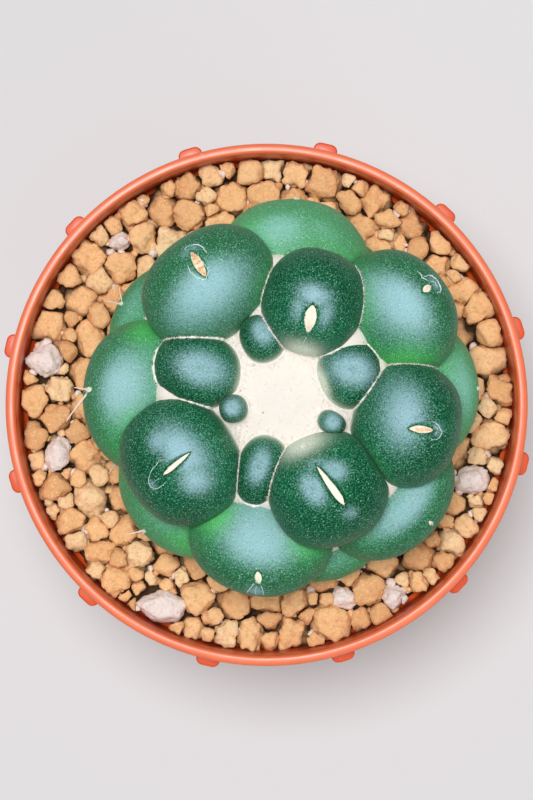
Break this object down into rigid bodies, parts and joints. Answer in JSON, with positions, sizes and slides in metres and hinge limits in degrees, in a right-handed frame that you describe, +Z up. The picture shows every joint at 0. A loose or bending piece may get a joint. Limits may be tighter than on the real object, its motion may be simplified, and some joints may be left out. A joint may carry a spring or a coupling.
{
  "type": "potted coryphantha",
  "caption": "Small cactus of large smooth green tubercles in a spiral round a felted crown, in a round plastic nursery pot of baked clay granules.",
  "frame": {"origin": "centre of the pot's foot, on the surface that it stands on", "axes": "+Z up through the pot, +Y towards the top of the view from above, +X to its right"},
  "size_m": [0.0914, 0.0914, 0.1061],
  "materials": {
    "pot_plastic": "terracotta-coloured plastic, slightly shiny on the lip",
    "granules": "tan porous baked clay",
    "pumice": "pale gritty pumice",
    "cactus_skin": "dark blue-green waxy skin with pale specks and a grey bloom",
    "wool": "cream felt"
  },
  "bodies": {
    "root": {"pot": "pot_plastic", "soil": "granules", "plant": "cactus_skin", "crown_wool": "wool", "axil_wool_1": "wool", "axil_wool_2": "wool", "axil_wool_3": "wool", "axil_wool_4": "wool", "axil_wool_5": "wool", "axil_wool_6": "wool", "axil_wool_7": "wool", "axil_wool_8": "wool", "axil_wool_9": "wool", "axil_wool_10": "wool", "pumice_stone_1": "pumice", "pumice_stone_2": "pumice", "pumice_stone_3": "pumice", "pumice_stone_4": "pumice", "pumice_stone_5": "pumice", "pumice_stone_6": "pumice", "pumice_stone_7": "pumice"}
  },
  "joints": []
}
